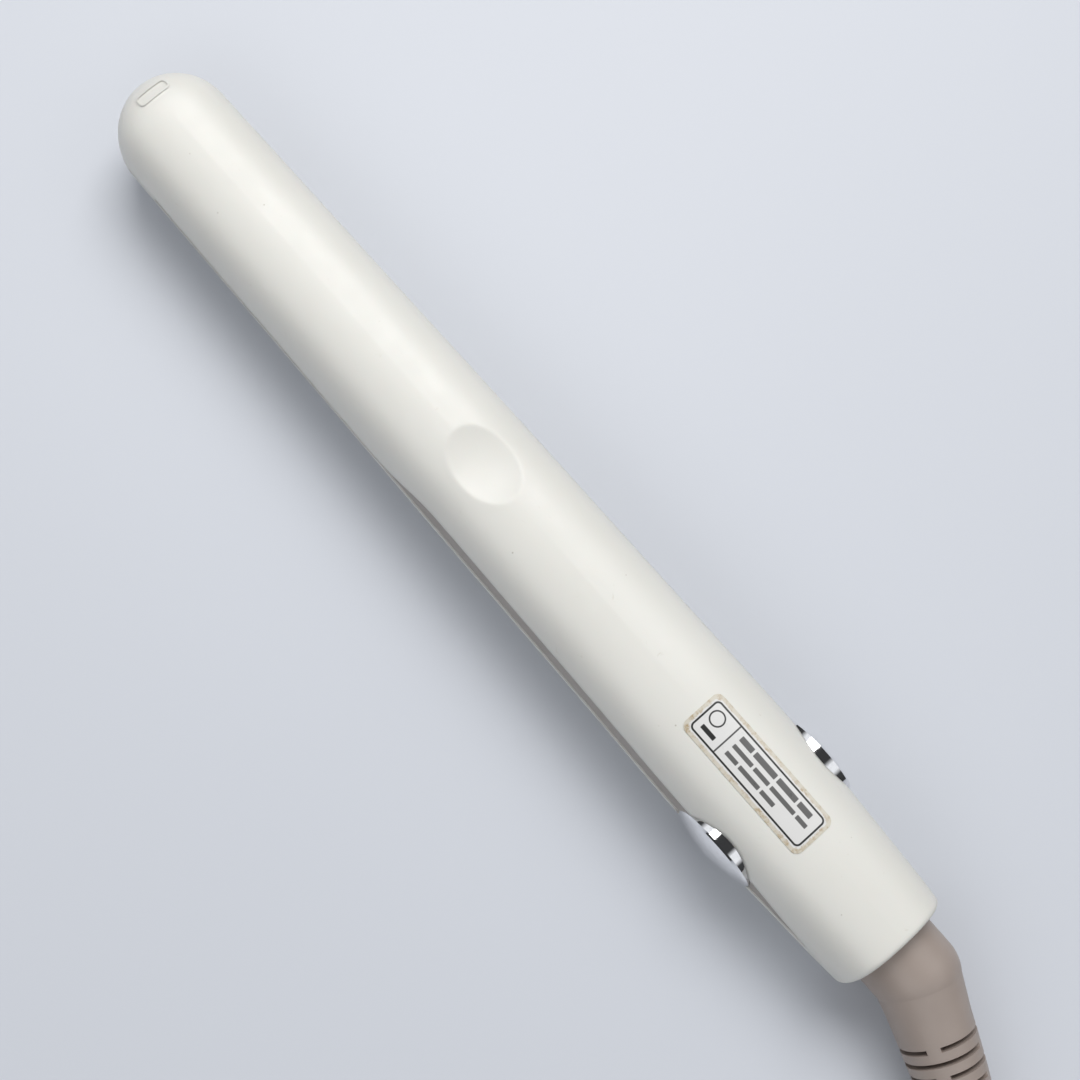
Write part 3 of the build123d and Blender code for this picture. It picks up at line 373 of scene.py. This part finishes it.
cord_curve = bpy.data.curves.new("cord_route", "CURVE")
cord_curve.dimensions = "3D"
spline = cord_curve.splines.new("NURBS")
spline.points.add(len(route) - 1)
for point, place in zip(spline.points, route):
    point.co = (*place, 1.0)
spline.order_u = 3
spline.use_endpoint_u = True
cord_curve.resolution_u = 6
cord_route = bpy.data.objects.new("cord_route", cord_curve)
bpy.context.collection.objects.link(cord_route)
centre_line = bpy.data.meshes.new_from_object(cord_route)
cord_curve.bevel_depth = CORD_DIAMETER / 2
cord_curve.bevel_resolution = 6
cord_curve.use_fill_caps = True
bpy.context.view_layer.update()
cord_mesh = bpy.data.meshes.new_from_object(cord_route.evaluated_get(bpy.context.evaluated_depsgraph_get()))
bpy.data.objects.remove(cord_route)
cord_mesh.materials.clear()
cord_mesh.materials.append(materials["cord_rubber"])
cord_mesh.shade_smooth()
mains_cord = bpy.data.objects.new("mains_cord", cord_mesh)
bpy.context.collection.objects.link(mains_cord)
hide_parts("power_cord", "cord_hank")
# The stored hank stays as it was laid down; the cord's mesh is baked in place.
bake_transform(mains_cord)

# The soft guard runs between the neck, which turns, and the cord that it holds at its other end; a baked copy
# of its mesh stands in for the CAD part.
bpy.context.view_layer.update()
neck_and_guard = frame["nodes"]["cord_guard"]
guard_mesh = neck_and_guard.data.copy()
guard_mesh.transform(neck_and_guard.matrix_world)
bend_relief = bpy.data.objects.new("bend_relief", guard_mesh)
bpy.context.collection.objects.link(bend_relief)
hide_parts("cord_guard")
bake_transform(bend_relief)

# ---------------------------------------------------------------- floor and light
floor_mesh = bpy.data.meshes.new("floor")
floor_reach = 3.0
corners = [(-floor_reach, -floor_reach, 0), (floor_reach, -floor_reach, 0), (floor_reach, floor_reach, 0),
           (-floor_reach, floor_reach, 0)]
floor_mesh.from_pydata(corners, [], [(0, 1, 2, 3)])
floor = bpy.data.objects.new("floor", floor_mesh)
bpy.context.collection.objects.link(floor)
s = Shader("floor")
floor_tone = s.mix(s.spread(s.noise(3.0, 2.0), 0.3, 0.7), (0.615, 0.640, 0.690), (0.600, 0.625, 0.675))
floor_mesh.materials.append(s.finish(floor_tone, 0.5))
floor.location.z = -0.0002


def soft_light(name, right, up, back, width, height, power, color=(1, 1, 1)):
    """An area light placed by the camera's directions from the object, aimed at it."""
    data = bpy.data.lights.new(name, "AREA")
    data.shape = "RECTANGLE"
    data.size, data.size_y = width, height
    data.energy = power
    data.color = color
    light = bpy.data.objects.new(name, data)
    bpy.context.collection.objects.link(light)
    light.location = TARGET + view_right * right + view_up * up + view_back * back
    light.rotation_euler = (light.location - TARGET).to_track_quat("Z", "Y").to_euler()
    return light


soft_light("key", 0.20, 0.95, 1.15, 1.0, 0.8, 15.6, (1.0, 0.99, 0.98))
fill = soft_light("fill", -0.4, -0.9, 1.3, 1.2, 1.2, 2.5)
fill.visible_glossy = False

# A room that is bright from the sides, and dim near the horizon and straight overhead, where whoever
# looks down at the object stands. Polished metal shows both.
world = bpy.data.worlds.new("world")
bpy.context.scene.world = world
world.use_nodes = True
nodes, links = world.node_tree.nodes, world.node_tree.links
split = nodes.new("ShaderNodeSeparateXYZ")
links.new(nodes.new("ShaderNodeTexCoord").outputs["Generated"], split.inputs[0])
ramp = nodes.new("ShaderNodeValToRGB")
links.new(split.outputs["Z"], ramp.inputs[0])
stops = ((0.0, 0.04), (0.42, 0.06), (0.60, 1.0), (0.82, 1.0), (0.91, 0.05))
while len(ramp.color_ramp.elements) < len(stops):
    ramp.color_ramp.elements.new(0.5)
for element, (position, level) in zip(ramp.color_ramp.elements, stops):
    element.position = position
    element.color = (0.93 * level, 0.95 * level, 0.98 * level, 1)
links.new(ramp.outputs[0], nodes["Background"].inputs["Color"])
nodes["Background"].inputs["Strength"].default_value = 0.95
bpy.context.scene.view_settings.view_transform = "Standard"
